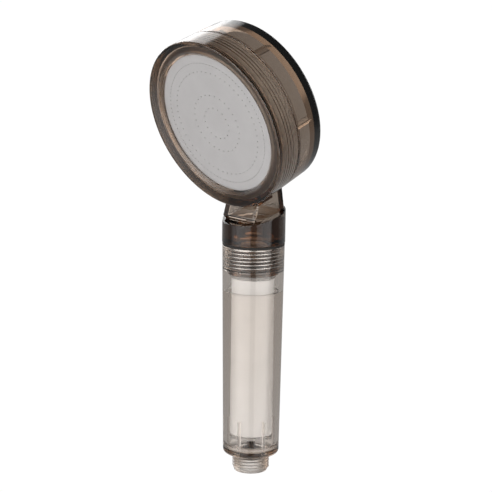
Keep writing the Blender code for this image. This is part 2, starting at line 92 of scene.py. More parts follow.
# Hose nipple, G 1/2.
PIPE_MAJOR_R = 20.955 / 2
PIPE_MINOR_R = 18.631 / 2
PIPE_PITCH = 1.814
PIPE_THREAD = (1.0, 9.8)
PIPE_RIDGE_WIDTH = 0.98 * PIPE_PITCH
NIPPLE_LENGTH = 10.4
NIPPLE_TIP_R = 0.6
NIPPLE_BORE_R = 6.5
NIPPLE_BORE_EDGE = 0.4

# Handle; a rib's root is how far it runs into the wall.
HANDLE_R = 15.68
HANDLE_TAPER = 0.013
HANDLE_TOP = 130.8
HANDLE_EDGE = 0.3
SHOULDER_FILLET = 2.5
FILTER_BORE_R = 13.5
BOWL_FLOOR = 12.6
BOWL_R = 5.0
BORE_STEP = 105.0
RIB_COUNT = 6
RIB_WIDTH = 1.2
RIB_INNER_R = 12.35
RIB_ROOT = 0.6
RIB_FOOT = 13.6
RIB_TOP = 31.4
RIB_PHASE = -73.0

# Screw threads of the neck and of the face ring; ridges and grooves as (height, width).
SCREW_PITCH = 2.0
NECK_RIDGE = (0.75, 2.0)
NECK_GROOVE = (0.62, 2.0)
NECK_GROOVE_SPAN = (116.4, 130.3)
RING_RIDGE = (0.4, 2.0)
RING_GROOVE = (0.3, 2.0)
BORE_CLEARANCE = 0.4
MOUTH_FLARE = 0.8
MOUTH_EDGE = 0.3
NECK_THREAD_ROUGHNESS = 0.2
RING_THREAD_ROUGHNESS = 0.3
MOULDED_ROUGHNESS = 0.35

# Neck.
SPIGOT_R = 14.3
SPIGOT_BOTTOM = 115.0
SPIGOT_EDGE_R = 0.6
SPIGOT_THREAD = (117.4, 129.8)
NECK_BORE_R = 7.7
NECK_BORE_TOP = 138.0
NECK_DOME_R = 3.0
PASSAGE_R = 5.0
PASSAGE_TOP = 149.0
GASKET = (130.95, 132.25)
GASKET_R = 17.4
GASKET_BORE_R = 14.6
GASKET_EDGE_R = 0.15
COLLAR_BOTTOM = 132.4
COLLAR_R = 17.6
COLLAR_FOOT_R = 0.4
COLLAR_TOP = 148.2
COLLAR_EDGE_R = 0.5
COLLAR_TOP_SLOPE = 13.8
DUCT_HALF_WIDTH = 12.35
DUCT_FOOT_HALF_WIDTH = 9.4
DUCT_FOOT = 143.0
DUCT_FULL = 147.2
DUCT_TOP = 172.0
DUCT_FRONT_SLOPE = 0.31
DUCT_REAR_SLOPE = 0.16
DUCT_CORNER_R = 1.0
DUCT_WALL = 2.5
DUCT_FLOOR = 146.5
DUCT_ROOF_GAP = 0.4

# Drum; depths run back from the middle of the face. A web's root is how far it runs into the walls.
HEAD_CENTRE = Vector((0.0, -32.03, 200.19))
HEAD_TILT = 19.25
HEAD_DEPTH = 35.8
FACE_R = 48.8
BACK_R = 47.3
FACE_FILLET = 0.8
BACK_FILLET = 2.6
SEAM_DEPTH = 16.0
SEAM_EDGE_R = 0.25
SHOULDER_DEPTH = 16.4
SHOULDER_GAP = 0.6
DRUM_RIM_DEPTH = 5.3
DRUM_RIM_EDGE_R = 0.4
DRUM_CORE_R = 45.5
DRUM_BORE_R = 42.6
SEAT_R = 39.0
SEAT_THICKNESS = 2.0
DRUM_WALL = 3.3
DRUM_FLOOR = 2.4
DRUM_CHAMFER = (5.5, 6.4)
SHOULDER_THICKNESS = 3.0
DRUM_THREAD = (6.2, 15.2)
RING_GROOVE_SPAN = (5.6, 15.4)
RING_CLEARANCE = 0.7
WEB_COUNT = 6
WEB_PHASE = -5.0
WEB_WIDTH = 2.0
WEB_INNER_R = 40.0
WEB_ROOT = 0.4

# How far a cutter reaches past what it cuts, and past the face.
OVERSHOOT = 5.0
PAST_FACE = 30.0

# Face ring: the rim dishes inwards, then slants down to a lip that overlaps the spray plate.
RIM_INNER_R = 47.4
DISH_R = 42.2
DISH_DEPTH = 1.1
LIP_FRONT_DEPTH = 2.7
LIP_DEPTH = 3.1
RING_SHOULDER_DEPTH = 5.1

# Spray plate and its jets as (share of the open radius, number of jets).
PLATE_R = 41.2
PLATE_FRONT = 3.3
PLATE_THICKNESS = 0.8
PLATE_OPEN_R = 40.0
JET_R = 0.3
JET_SIDES = 10
JET_RINGS = ((0.88, 90), (0.755, 54), (0.415, 28), (0.225, 16))
PLATE_CLEARANCE = 0.2
PLATE_GASKET_EDGE_R = 0.2

# Filter cartridge.
CARTRIDGE_SEGMENTS = 72
SLEEVE = (22.3, 112.7)
SLEEVE_R = 12.0
SLEEVE_EDGE_R = 0.5
SLEEVE_BORE_R = 6.6
SLEEVE_ROWS = 60
SLEEVE_WAVE = 0.003
CAP_EDGE_R = 0.3
CAP_GAP = 0.3
BOTTOM_CAP_THICKNESS = 1.7
TOP_CAP_R = 12.7
PLUG_R = 4.8
PLUG_LENGTH = 4.0
NOZZLE_R = 6.9
NOZZLE_BORE_R = 3.6
NOZZLE_TOP = 125.0
SEAL_HEIGHT = 120.0
SEAL_R = 6.6
SEAL_SECTION_R = 0.7
SEAL_GROOVE_R = 5.8
SEAL_GROOVE_WIDTH = 1.9
PIN_R = 2.3
PIN_TIP_R = 1.8
PIN_BOTTOM = 12.4

# Ring in the mouth of the nipple's bore, with a narrow rim on top.
INLET = (6.0, 12.0)
INLET_R = 6.2
INLET_BORE_R = 3.5
INLET_RIM_R = 4.4
INLET_TOP = 13.6


# ---------------------------------------------------------------- geometry helpers


def arc(centre, radius, start, end, steps=8):
    """Points of a circular arc in the (radius, height) plane; angles in degrees."""
    angles = [math.radians(start + (end - start) * i / steps) for i in range(steps + 1)]
    return [(centre[0] + radius * math.cos(a), centre[1] + radius * math.sin(a)) for a in angles]


def thread_rows(radius, span, pitch, height, width, downwards=False, open_end=None):
    """Profile rows of a threaded stretch: (radius, z, pitch, height, width).

    The thread runs out at both ends, apart from an open end, "low" or "high", that keeps its height.
    """
    low, high = span
    count = math.ceil((high - low) / pitch * ROWS_PER_PITCH)
    rows = []
    for i in range(count + 1):
        z = low + (high - low) * i / count
        from_low = pitch if open_end == "low" else z - low
        from_high = pitch if open_end == "high" else high - z
        ends = min(from_low, from_high) / (0.7 * pitch)
        rows.append((radius, z, pitch, height * min(max(ends, 0.0), 1.0), width))
    return rows[::-1] if downwards else rows


def ridge(offset, pitch, width):
    """Height share of a rounded ridge at an axial offset from its crest."""
    away = abs((offset / pitch + 0.5) % 1.0 - 0.5) * pitch
    share = min(away / (width / 2), 1.0)
    return 0.5 * (1.0 + math.cos(math.pi * share))


def with_edge_rows(profile):
    """The outline with rows close to the ends of its long stretches, so smooth shading stays there."""
    rows = []
    for start, end in zip(profile, profile[1:] + profile[:1]):
        rows.append(start)
        across = Vector((end[0] - start[0], end[1] - start[1]))
        if across.length > 2.0:
            step = across.normalized() * 0.2
            rows.append((start[0] + step.x, start[1] + step.y))
            rows.append((end[0] - step.x, end[1] - step.y))
    return rows


def turned(name, profile, segments, phase=0.0, half_step=False):
    """Turned solid about Z from a closed outline; thread rows carry right-handed ridges.

    A row at radius 0 becomes one point. phase is the height where a ridge's crest has angle 0, and
    half_step turns the facets by half a segment, so that a cutter's edges miss those of the body.
    """
    verts = []
    faces = []
    rows = []
    for point in with_edge_rows(profile):
        radius, z = point[:2]
        if radius < 1e-6:
            rows.append([len(verts)])
            verts.append((0.0, 0.0, z * MM))
            continue
        row = []
        for i in range(segments):
            angle = math.tau * (i + (0.5 if half_step else 0.0)) / segments
            lift = 0.0
            if len(point) > 2 and point[3] > 0.0:
                offset = z - phase - point[2] * angle / math.tau
                lift = point[3] * ridge(offset, point[2], point[4])
            r = (radius + lift) * MM
            row.append(len(verts))
            verts.append((r * math.cos(angle), r * math.sin(angle), z * MM))
        rows.append(row)
    pairs = list(zip(rows, rows[1:]))
    pairs.append((rows[-1], rows[0]))
    for low, high in pairs:
        for i in range(segments):
            j = (i + 1) % segments
            if len(low) == 1 and len(high) == 1:
                break
            if len(low) == 1:
                faces.append((low[0], high[j], high[i]))
            elif len(high) == 1:
                faces.append((low[i], low[j], high[0]))
            else:
                faces.append((low[i], low[j], high[j], high[i]))
    return mesh_from(name, verts, faces)


def mesh_from(name, verts, faces):
    """A mesh with its faces turned outwards."""
    bm = bmesh.new()
    made = [bm.verts.new(v) for v in verts]
    for face in faces:
        bm.faces.new([made[i] for i in face])
    bmesh.ops.recalc_face_normals(bm, faces=bm.faces)
    mesh = bpy.data.meshes.new(name)
    bm.to_mesh(mesh)
    bm.free()
    return mesh


def loft(name, sections):
    """Skin equal-length closed sections and cap both ends; points in millimetres."""
    verts = [Vector(p) * MM for section in sections for p in section]
    size = len(sections[0])
    faces = []
    for level in range(len(sections) - 1):
        low = level * size
        for i in range(size):
            j = (i + 1) % size
            faces.append((low + i, low + j, low + size + j, low + size + i))
    faces.append(tuple(range(size)))
    faces.append(tuple(range(len(verts) - size, len(verts))))
    return mesh_from(name, verts, faces)


def block(name, low, high, turn=0.0):
    """A box between two corners, turned about Z by an angle in degrees."""
    rotation = Matrix.Rotation(math.radians(turn), 4, "Z")
    corners = ((low[0], low[1]), (high[0], low[1]), (high[0], high[1]), (low[0], high[1]))
    return loft(name, [[rotation @ Vector((x, y, z)) for x, y in corners] for z in (low[2], high[2])])


def joined(name, meshes):
    """One mesh that holds several closed shapes."""
    bm = bmesh.new()
    for mesh in meshes:
        bm.from_mesh(mesh)
    result = bpy.data.meshes.new(name)
    bm.to_mesh(result)
    bm.free()
    return result


def combined(mesh, other, operation):
    """Exact Boolean of two meshes."""
    pair = [bpy.data.objects.new("operand", m) for m in (mesh, other)]
    for thing in pair:
        bpy.context.scene.collection.objects.link(thing)
    step = pair[0].modifiers.new("combine", "BOOLEAN")
    step.operation = operation
    step.solver = "EXACT"
    step.object = pair[1]
    depsgraph = bpy.context.evaluated_depsgraph_get()
    result = bpy.data.meshes.new_from_object(pair[0].evaluated_get(depsgraph))
    result.name = mesh.name
    for thing in pair:
        bpy.data.objects.remove(thing)
    return result


HEAD_MATRIX = Matrix.Translation(HEAD_CENTRE * MM) @ Matrix.Rotation(
    math.radians(90 + HEAD_TILT), 4, "X")


def on_head(mesh):
    """Move a mesh from the drum's own axis to its place on the head."""
    mesh.transform(HEAD_MATRIX)
    return mesh


def piece(name, mesh, body, nodes, material, sharp=38):
    """Show a mesh on a CAD body in place of its CAD node."""
    mesh.materials.clear()
    mesh.materials.append(material)
    mesh.shade_smooth()
    mesh.set_sharp_from_angle(angle=math.radians(sharp))
    made = bpy.data.objects.new(name, mesh)
    bpy.context.scene.collection.objects.link(made)
    weighted = made.modifiers.new("weighted", "WEIGHTED_NORMAL")
    weighted.keep_sharp = True
    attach(made, body)
    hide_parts(*nodes)
    return made


# ---------------------------------------------------------------- materials


def base_material(name, colour, roughness):
    """A Principled material; returns it with its node tree and shader."""
    made = bpy.data.materials.new(name)
    made.use_nodes = True
    tree = made.node_tree
    shader = tree.nodes["Principled BSDF"]
    shader.inputs["Base Color"].default_value = (*colour, 1.0)
    shader.inputs["Roughness"].default_value = roughness
    return made, tree, shader


def noise(tree, scale, detail, roughness=0.5):
    """Noise over the object's own coordinates; scale is in features a metre."""
    place = tree.nodes.new("ShaderNodeTexCoord")
    made = tree.nodes.new("ShaderNodeTexNoise")
    made.inputs["Scale"].default_value = scale
    made.inputs["Detail"].default_value = detail
    made.inputs["Roughness"].default_value = roughness
    tree.links.new(place.outputs["Object"], made.inputs["Vector"])
    return made


def spread(tree, source, low, high):
    """Map noise, which lies mostly between 0.3 and 0.7, onto a range."""
    made = tree.nodes.new("ShaderNodeMapRange")
    made.inputs["From Min"].default_value = 0.3
    made.inputs["From Max"].default_value = 0.7
    made.inputs["To Min"].default_value = low
    made.inputs["To Max"].default_value = high
    tree.links.new(source, made.inputs["Value"])
    return made.outputs["Result"]


def bump(tree, shader, source, strength, distance):
    """Drive the shader's normal from a height."""
    made = tree.nodes.new("ShaderNodeBump")
    made.inputs["Strength"].default_value = strength
    made.inputs["Distance"].default_value = distance
    tree.links.new(source, made.inputs["Height"])
    tree.links.new(made.outputs["Normal"], shader.inputs["Normal"])


def math_node(tree, operation, *values):
    """A Math node over sockets and numbers; returns its output."""
    made = tree.nodes.new("ShaderNodeMath")
    made.operation = operation
    for socket, value in zip(made.inputs, values):
        if isinstance(value, (int, float)):
            socket.default_value = value
        else:
            tree.links.new(value, socket)
    return made.outputs["Value"]


def along_axis(tree, vector, axis):
    """Length of a vector along an axis."""
    made = tree.nodes.new("ShaderNodeVectorMath")
    made.operation = "DOT_PRODUCT"
    made.inputs[1].default_value = axis
    tree.links.new(vector, made.inputs[0])
    return made.outputs["Value"]


def zone_mask(tree, centre, axis, reach, span):
    """1 where a point is nearer an axis than reach and within a span along it, 0 elsewhere."""
    place = tree.nodes.new("ShaderNodeTexCoord")
    offset = tree.nodes.new("ShaderNodeVectorMath")
    offset.operation = "SUBTRACT"
    offset.inputs[1].default_value = centre * MM
    tree.links.new(place.outputs["Object"], offset.inputs[0])
    distance = tree.nodes.new("ShaderNodeVectorMath")
    distance.operation = "LENGTH"
    tree.links.new(offset.outputs["Vector"], distance.inputs[0])
    away = distance.outputs["Value"]
    along = along_axis(tree, offset.outputs["Vector"], axis)
    squared = math_node(tree, "SUBTRACT", math_node(tree, "MULTIPLY", away, away),
                        math_node(tree, "MULTIPLY", along, along))
    near = math_node(tree, "LESS_THAN", squared, (reach * MM) ** 2)
    past_low = math_node(tree, "GREATER_THAN", along, span[0] * MM)
    before_high = math_node(tree, "LESS_THAN", along, span[1] * MM)
    return math_node(tree, "MULTIPLY", near, math_node(tree, "MULTIPLY", past_low, before_high))


def clear_plastic(name, taken_per_mm, roughness, satin_zones=()):
    """Clear resin that takes light with depth, faintly marked by handling, and satin in its zones.

    The volume takes its density times (1 - colour), so the strongest of the three gets a colour of 0.2.
    """
    made, tree, shader = base_material(name, (1.0, 1.0, 1.0), roughness)
    shader.inputs["Transmission Weight"].default_value = 1.0
    shader.inputs["IOR"].default_value = 1.5
    marks = noise(tree, scale=260.0, detail=4.0)
    finish = spread(tree, marks.outputs["Fac"], roughness * 0.4, roughness * 1.8)
    for *zone, zone_roughness in satin_zones:
        finish = math_node(tree, "MULTIPLY_ADD", zone_mask(tree, *zone), zone_roughness, finish)
    tree.links.new(finish, shader.inputs["Roughness"])
    waves = noise(tree, scale=55.0, detail=1.0)
    bump(tree, shader, waves.outputs["Fac"], strength=0.04, distance=0.0004)
    depth = tree.nodes.new("ShaderNodeVolumeAbsorption")
    strongest = max(taken_per_mm) / 0.8
    depth.inputs["Color"].default_value = (*[1.0 - t / strongest for t in taken_per_mm], 1.0)
    depth.inputs["Density"].default_value = strongest / MM
    output = tree.nodes["Material Output"]
    tree.links.new(depth.outputs["Volume"], output.inputs["Volume"])
    return made


def solid_plastic(name, colour, roughness, grain=900.0):
    """Opaque moulded plastic or rubber with a fine grain."""
    made, tree, shader = base_material(name, colour, roughness)
    grains = noise(tree, scale=grain, detail=3.0)
    tree.links.new(spread(tree, grains.outputs["Fac"], roughness * 0.8, roughness * 1.2),
                   shader.inputs["Roughness"])
    bump(tree, shader, grains.outputs["Fac"], strength=0.15, distance=0.0001)
    shader.inputs["Specular IOR Level"].default_value = 0.2
    return made


def cotton_fibre(name):
    """Melt-blown white fibre: soft, mottled, with short matted strands."""
    made, tree, shader = base_material(name, (0.86, 0.84, 0.81), 0.95)
    cloud = noise(tree, scale=70.0, detail=5.0, roughness=0.65)
    tint = tree.nodes.new("ShaderNodeMixRGB")
    tint.inputs["Color1"].default_value = (0.89, 0.905, 0.915, 1.0)
    tint.inputs["Color2"].default_value = (0.945, 0.955, 0.965, 1.0)
    tree.links.new(spread(tree, cloud.outputs["Fac"], 0.0, 1.0), tint.inputs["Fac"])
    tree.links.new(tint.outputs["Color"], shader.inputs["Base Color"])
    strands = noise(tree, scale=1400.0, detail=6.0, roughness=0.7)
    bump(tree, shader, strands.outputs["Fac"], strength=0.35, distance=0.0003)
    shader.inputs["Sheen Weight"].default_value = 0.15
    return made


def spray_steel(name):
    """Fine blasted stainless steel."""
    made, tree, shader = base_material(name, (0.685, 0.665, 0.66), 0.42)
    shader.inputs["Metallic"].default_value = 1.0
    blast = noise(tree, scale=5200.0, detail=2.0)
    tree.links.new(spread(tree, blast.outputs["Fac"], 0.36, 0.5), shader.inputs["Roughness"])
    cloud = noise(tree, scale=90.0, detail=3.0)
    tint = tree.nodes.new("ShaderNodeMixRGB")
    tint.inputs["Color1"].default_value = (0.67, 0.65, 0.645, 1.0)
    tint.inputs["Color2"].default_value = (0.7, 0.68, 0.675, 1.0)
    tree.links.new(spread(tree, cloud.outputs["Fac"], 0.0, 1.0), tint.inputs["Fac"])
    tree.links.new(tint.outputs["Color"], shader.inputs["Base Color"])
    bump(tree, shader, blast.outputs["Fac"], strength=0.12, distance=0.00005)
    return made


# ---------------------------------------------------------------- pieces


def wall_r(height):
    """Outer radius of the handle tube at a height."""
    return HANDLE_R + HANDLE_TAPER * height


def handle_tube(material):
    """Nipple, tapered tube and bore with its ribs and threads."""
    shoulder_r = wall_r(NIPPLE_LENGTH)
    bore_r = SPIGOT_R + BORE_CLEARANCE
    outline = arc((PIPE_MINOR_R - NIPPLE_TIP_R, NIPPLE_TIP_R), NIPPLE_TIP_R, -90, -20, 4)
    outline += thread_rows(PIPE_MINOR_R, PIPE_THREAD, PIPE_PITCH, PIPE_MAJOR_R - PIPE_MINOR_R,
                           PIPE_RIDGE_WIDTH)
    outline += [(PIPE_MINOR_R, NIPPLE_LENGTH - HANDLE_EDGE), (PIPE_MINOR_R + HANDLE_EDGE, NIPPLE_LENGTH)]
    outline += arc((shoulder_r - SHOULDER_FILLET, NIPPLE_LENGTH + SHOULDER_FILLET),
                   SHOULDER_FILLET, -90, 0, 12)
    outline += arc((wall_r(HANDLE_TOP) - HANDLE_EDGE, HANDLE_TOP - HANDLE_EDGE), HANDLE_EDGE, 0, 90, 4)
    groove, width = NECK_GROOVE
    outline += [(bore_r + MOUTH_FLARE, HANDLE_TOP, SCREW_PITCH, groove - 0.5, width)]
    outline += [(bore_r + MOUTH_EDGE, HANDLE_TOP - MOUTH_EDGE, SCREW_PITCH, groove - 0.1, width)]
    outline += thread_rows(bore_r, NECK_GROOVE_SPAN, SCREW_PITCH, groove, width,
                           downwards=True, open_end="high")
    outline += [(bore_r, BORE_STEP), (FILTER_BORE_R + 0.1, BORE_STEP), (FILTER_BORE_R, BORE_STEP - 0.2)]
    outline += arc((FILTER_BORE_R - BOWL_R, BOWL_FLOOR + BOWL_R), BOWL_R, 0, -90, 14)
    edge = NIPPLE_BORE_EDGE
    outline += arc((NIPPLE_BORE_R + edge, BOWL_FLOOR - edge), edge, 90, 180, 4)
    outline += [(NIPPLE_BORE_R, edge), (NIPPLE_BORE_R + edge, 0.0)]
    body = turned("handle_tube", outline, HANDLE_SEGMENTS, HANDLE_TOP)
    ribs = []
    for i in range(RIB_COUNT):
        low = (RIB_INNER_R, -RIB_WIDTH / 2, RIB_FOOT)
        high = (FILTER_BORE_R + RIB_ROOT, RIB_WIDTH / 2, RIB_TOP)
        ribs.append(block("rib", low, high, RIB_PHASE + i * 360 / RIB_COUNT))
    body = combined(body, joined("ribs", ribs), "UNION")
    piece("handle_shell", body, "handle", ["handle_tube"], material)


def rounded_rectangle(half_x, front, back, corner, height):
    """Closed outline with rounded corners at one height."""
    centres = (
        (half_x - corner, back - corner, 0),
        (corner - half_x, back - corner, 90),
        (corner - half_x, front + corner, 180),
        (half_x - corner, front + corner, 270),
    )
    return [(px, py, height) for x, y, start in centres
            for px, py in arc((x, y), corner, start, start + 90, 6)]


def duct_sections(inset):
    """Square duct that narrows towards the drum, inset from its outer faces."""
    rise = DUCT_TOP - DUCT_FULL
    foot = DUCT_FOOT_HALF_WIDTH
    full = DUCT_HALF_WIDTH
    levels = (
        (DUCT_FOOT, foot, -foot, foot),
        (DUCT_FULL, full, -full, full),
        (DUCT_TOP, full, rise * DUCT_FRONT_SLOPE - full, full - rise * DUCT_REAR_SLOPE),
    )
    return [rounded_rectangle(half - inset, front + inset, back - inset, DUCT_CORNER_R, height)
            for height, half, front, back in levels]


def collar_mesh():
    """Threaded spigot and collar, the collar's top slanting up towards the back."""
    outline = [(0.0, SPIGOT_BOTTOM), (SPIGOT_R - SPIGOT_EDGE_R - 0.1, SPIGOT_BOTTOM)]
    outline += arc((SPIGOT_R - SPIGOT_EDGE_R, SPIGOT_BOTTOM + SPIGOT_EDGE_R), SPIGOT_EDGE_R, -60, 0, 4)
    outline += thread_rows(SPIGOT_R, SPIGOT_THREAD, SCREW_PITCH, *NECK_RIDGE)
    outline += [(SPIGOT_R, COLLAR_BOTTOM - 0.2), (SPIGOT_R + 0.2, COLLAR_BOTTOM)]
    outline += arc((COLLAR_R - COLLAR_FOOT_R, COLLAR_BOTTOM + COLLAR_FOOT_R), COLLAR_FOOT_R, -90, 0, 5)
    outline += arc((COLLAR_R - COLLAR_EDGE_R, COLLAR_TOP - COLLAR_EDGE_R), COLLAR_EDGE_R, 0, 90, 6)
    outline += [(0.0, COLLAR_TOP)]
    mesh = turned("rear_housing", outline, HANDLE_SEGMENTS, HANDLE_TOP)
    slope = math.tan(math.radians(COLLAR_TOP_SLOPE))
    for vertex in mesh.vertices:
        if vertex.co.z > (COLLAR_TOP - 2 * COLLAR_EDGE_R) * MM:
            vertex.co.z += slope * vertex.co.y
    return mesh


def drum_mesh():
    """Rear half of the drum with the male thread for the face ring, still solid."""
    side_r = FACE_R + (BACK_R - FACE_R) * SHOULDER_DEPTH / HEAD_DEPTH
    outline = [(0.0, -HEAD_DEPTH)]
    outline += arc((BACK_R - BACK_FILLET, BACK_FILLET - HEAD_DEPTH), BACK_FILLET, -90, 0, 10)
    outline += arc((side_r - SEAM_EDGE_R, -SHOULDER_DEPTH - SEAM_EDGE_R), SEAM_EDGE_R, 0, 90, 3)
    outline += [(DRUM_CORE_R, -SHOULDER_DEPTH)]
    outline += thread_rows(DRUM_CORE_R, (-DRUM_THREAD[1], -DRUM_THREAD[0]), SCREW_PITCH, *RING_RIDGE)
    edge = DRUM_RIM_EDGE_R
    outline += arc((DRUM_CORE_R - edge, -DRUM_RIM_DEPTH - edge), edge, 0, 90, 4)
    outline += [(0.0, -DRUM_RIM_DEPTH)]
    return on_head(turned("drum", outline, DRUM_SEGMENTS))


def rear_housing(material):
    """Spigot, collar, duct and rear drum as one clear moulding."""
    swept_r = FACE_R + RING_CLEARANCE
    swept_end = -SEAM_DEPTH - SHOULDER_GAP
    swept = [(0.0, swept_end), (swept_r, swept_end), (swept_r, PAST_FACE), (0.0, PAST_FACE)]
    duct = combined(loft("duct", duct_sections(0.0)),
                    on_head(turned("sweep", swept, DRUM_SEGMENTS, half_step=True)), "DIFFERENCE")
    body = combined(collar_mesh(), duct, "UNION")
    body = combined(body, drum_mesh(), "UNION")

    wall_inner = BACK_R - DRUM_WALL
    floor = HEAD_DEPTH - DRUM_FLOOR
    step = SHOULDER_DEPTH + SHOULDER_THICKNESS
    inwards, forwards = DRUM_CHAMFER
    chamber = [(0.0, -floor), (wall_inner - inwards, -floor), (wall_inner, forwards - floor)]
    seat_back = DRUM_RIM_DEPTH + SEAT_THICKNESS
    chamber += [(wall_inner, -step), (DRUM_BORE_R, -step), (DRUM_BORE_R, -seat_back)]
    chamber += [(SEAT_R, -seat_back), (SEAT_R, OVERSHOOT), (0.0, OVERSHOOT)]
    body = combined(body, on_head(turned("chamber", chamber, DRUM_SEGMENTS, half_step=True)),
                    "DIFFERENCE")
    webs = []
    for i in range(WEB_COUNT):
        low = (WEB_INNER_R, -WEB_WIDTH / 2, -floor - WEB_ROOT)
        high = (wall_inner + WEB_ROOT, WEB_WIDTH / 2, WEB_ROOT - step)
        webs.append(block("web", low, high, WEB_PHASE + i * 360 / WEB_COUNT))
    body = combined(body, on_head(joined("webs", webs)), "UNION")

    roof_r = swept_r + DUCT_WALL
    roof_end = -step - DUCT_ROOF_GAP
    roof = [(0.0, roof_end), (roof_r, roof_end), (roof_r, PAST_FACE), (0.0, PAST_FACE)]
    hollow = combined(loft("hollow", duct_sections(DUCT_WALL)),
                      on_head(turned("roof", roof, DRUM_SEGMENTS, half_step=True)), "DIFFERENCE")
    reach = 2 * COLLAR_R
    floor_block = block("floor", (-reach, -reach, DUCT_FOOT - OVERSHOOT), (reach, reach, DUCT_FLOOR))
    hollow = combined(hollow, floor_block, "DIFFERENCE")
    body = combined(body, hollow, "DIFFERENCE")
    bore = [(0.0, SPIGOT_BOTTOM - OVERSHOOT), (NECK_BORE_R, SPIGOT_BOTTOM - OVERSHOOT)]
    bore += arc((NECK_BORE_R - NECK_DOME_R, NECK_BORE_TOP - NECK_DOME_R), NECK_DOME_R, 0, 70, 8)
    bore += [(PASSAGE_R, NECK_BORE_TOP), (PASSAGE_R, PASSAGE_TOP), (0.0, PASSAGE_TOP)]
    body = combined(body, turned("bore", bore, segments=64, half_step=True), "DIFFERENCE")
    piece("rear_shell", body, "head", ["rear_housing"], material)


def face_ring(material):
    """Front ring with its dished rim, the plate's pocket and the female thread."""
    side_r = FACE_R + (BACK_R - FACE_R) * SEAM_DEPTH / HEAD_DEPTH
    bore_r = DRUM_CORE_R + BORE_CLEARANCE
    pocket_r = PLATE_R + PLATE_CLEARANCE
    outline = [(PLATE_OPEN_R, -LIP_DEPTH), (PLATE_OPEN_R, -LIP_FRONT_DEPTH - 0.1)]
    outline += [(PLATE_OPEN_R + 0.1, -LIP_FRONT_DEPTH), (DISH_R - 0.15, -DISH_DEPTH - 0.12)]
    outline += [(DISH_R + 0.15, -DISH_DEPTH), (RIM_INNER_R, 0.0)]
    outline += arc((FACE_R - FACE_FILLET, -FACE_FILLET), FACE_FILLET, 90, 0, 8)
    outline += arc((side_r - SEAM_EDGE_R, SEAM_EDGE_R - SEAM_DEPTH), SEAM_EDGE_R, 0, -90, 3)
    outline += [(bore_r + MOUTH_FLARE, -SEAM_DEPTH), (bore_r + MOUTH_EDGE, MOUTH_EDGE - SEAM_DEPTH)]
    outline += thread_rows(bore_r, (-RING_GROOVE_SPAN[1], -RING_GROOVE_SPAN[0]), SCREW_PITCH,
                           *RING_GROOVE)
    outline += [(bore_r, -RING_SHOULDER_DEPTH - 0.1), (bore_r - 0.1, -RING_SHOULDER_DEPTH)]
    outline += [(pocket_r, -RING_SHOULDER_DEPTH), (pocket_r, -LIP_DEPTH - 0.2)]
    outline += [(pocket_r - 0.2, -LIP_DEPTH)]
    mesh = on_head(turned("face_ring", outline, DRUM_SEGMENTS))
    piece("face_ring_shell", mesh, "ring", ["face_ring"], material)


def spray_plate(material):
    """Thin plate with round jets, cut as one flat outline with holes."""
    curve = bpy.data.curves.new("spray_plate", "CURVE")
    curve.dimensions = "2D"
    curve.fill_mode = "BOTH"
    curve.extrude = PLATE_THICKNESS / 2 * MM

    def add_circle(x, y, radius, sides):
        spline = curve.splines.new("POLY")
        spline.points.add(sides - 1)
        for i, point in enumerate(spline.points):
            angle = math.tau * i / sides
            point.co = ((x + radius * math.cos(angle)) * MM, (y + radius * math.sin(angle)) * MM, 0, 1)
        spline.use_cyclic_u = True

    add_circle(0.0, 0.0, PLATE_R, DRUM_SEGMENTS)
    for share, count in JET_RINGS:
        for i in range(count):
            angle = math.tau * i / count
            x = share * PLATE_OPEN_R * math.cos(angle)
            y = share * PLATE_OPEN_R * math.sin(angle)
            add_circle(x, y, JET_R, JET_SIDES)
    holder = bpy.data.objects.new("spray_plate_curve", curve)
    bpy.context.scene.collection.objects.link(holder)
    depsgraph = bpy.context.evaluated_depsgraph_get()
    mesh = bpy.data.meshes.new_from_object(holder.evaluated_get(depsgraph))
    bpy.data.objects.remove(holder)
    bm = bmesh.new()
    bm.from_mesh(mesh)
    bmesh.ops.remove_doubles(bm, verts=bm.verts, dist=1e-6)
    bmesh.ops.recalc_face_normals(bm, faces=bm.faces)
    bm.to_mesh(mesh)
    bm.free()
    mesh.transform(Matrix.Translation((0, 0, -(PLATE_FRONT + PLATE_THICKNESS / 2) * MM)))
    piece("spray_disc", on_head(mesh), "plate", ["spray_plate"], material)


def rounded_side(radius, low, high, edge, steps):
    """Outer side of a disc or ring, going up, with both its edges rounded."""
    outline = arc((radius - edge, low + edge), edge, -90, 0, steps)
    return outline + arc((radius - edge, high - edge), edge, 0, 90, steps)


def seals(rubber):
    """Neck gasket, plate gasket and the cartridge's O-ring."""
    low, high = GASKET
    outline = rounded_side(GASKET_R, low, high, GASKET_EDGE_R, 3)
    outline += [(GASKET_BORE_R, high), (GASKET_BORE_R, low)]
    piece("neck_seal", turned("neck_gasket", outline, HANDLE_SEGMENTS), "cartridge", ["neck_gasket"],
          rubber)
    front = -PLATE_FRONT - PLATE_THICKNESS - PLATE_CLEARANCE
    back = PLATE_CLEARANCE - DRUM_RIM_DEPTH
    outline = [(SEAT_R, back), (SEAT_R, front)]
    edge = PLATE_GASKET_EDGE_R
    outline += arc((PLATE_R - edge, front - edge), edge, 90, 0, 3)
    outline += arc((PLATE_R - edge, back + edge), edge, 0, -90, 3)
    piece("plate_seal", on_head(turned("plate_gasket", outline, DRUM_SEGMENTS)), "plate",
          ["plate_gasket"], rubber)
    section = arc((SEAL_R, SEAL_HEIGHT), SEAL_SECTION_R, 0, 337.5, 15)
    piece("nozzle_seal", turned("filter_seal", section, segments=64), "cartridge", ["filter_seal"],
          rubber)


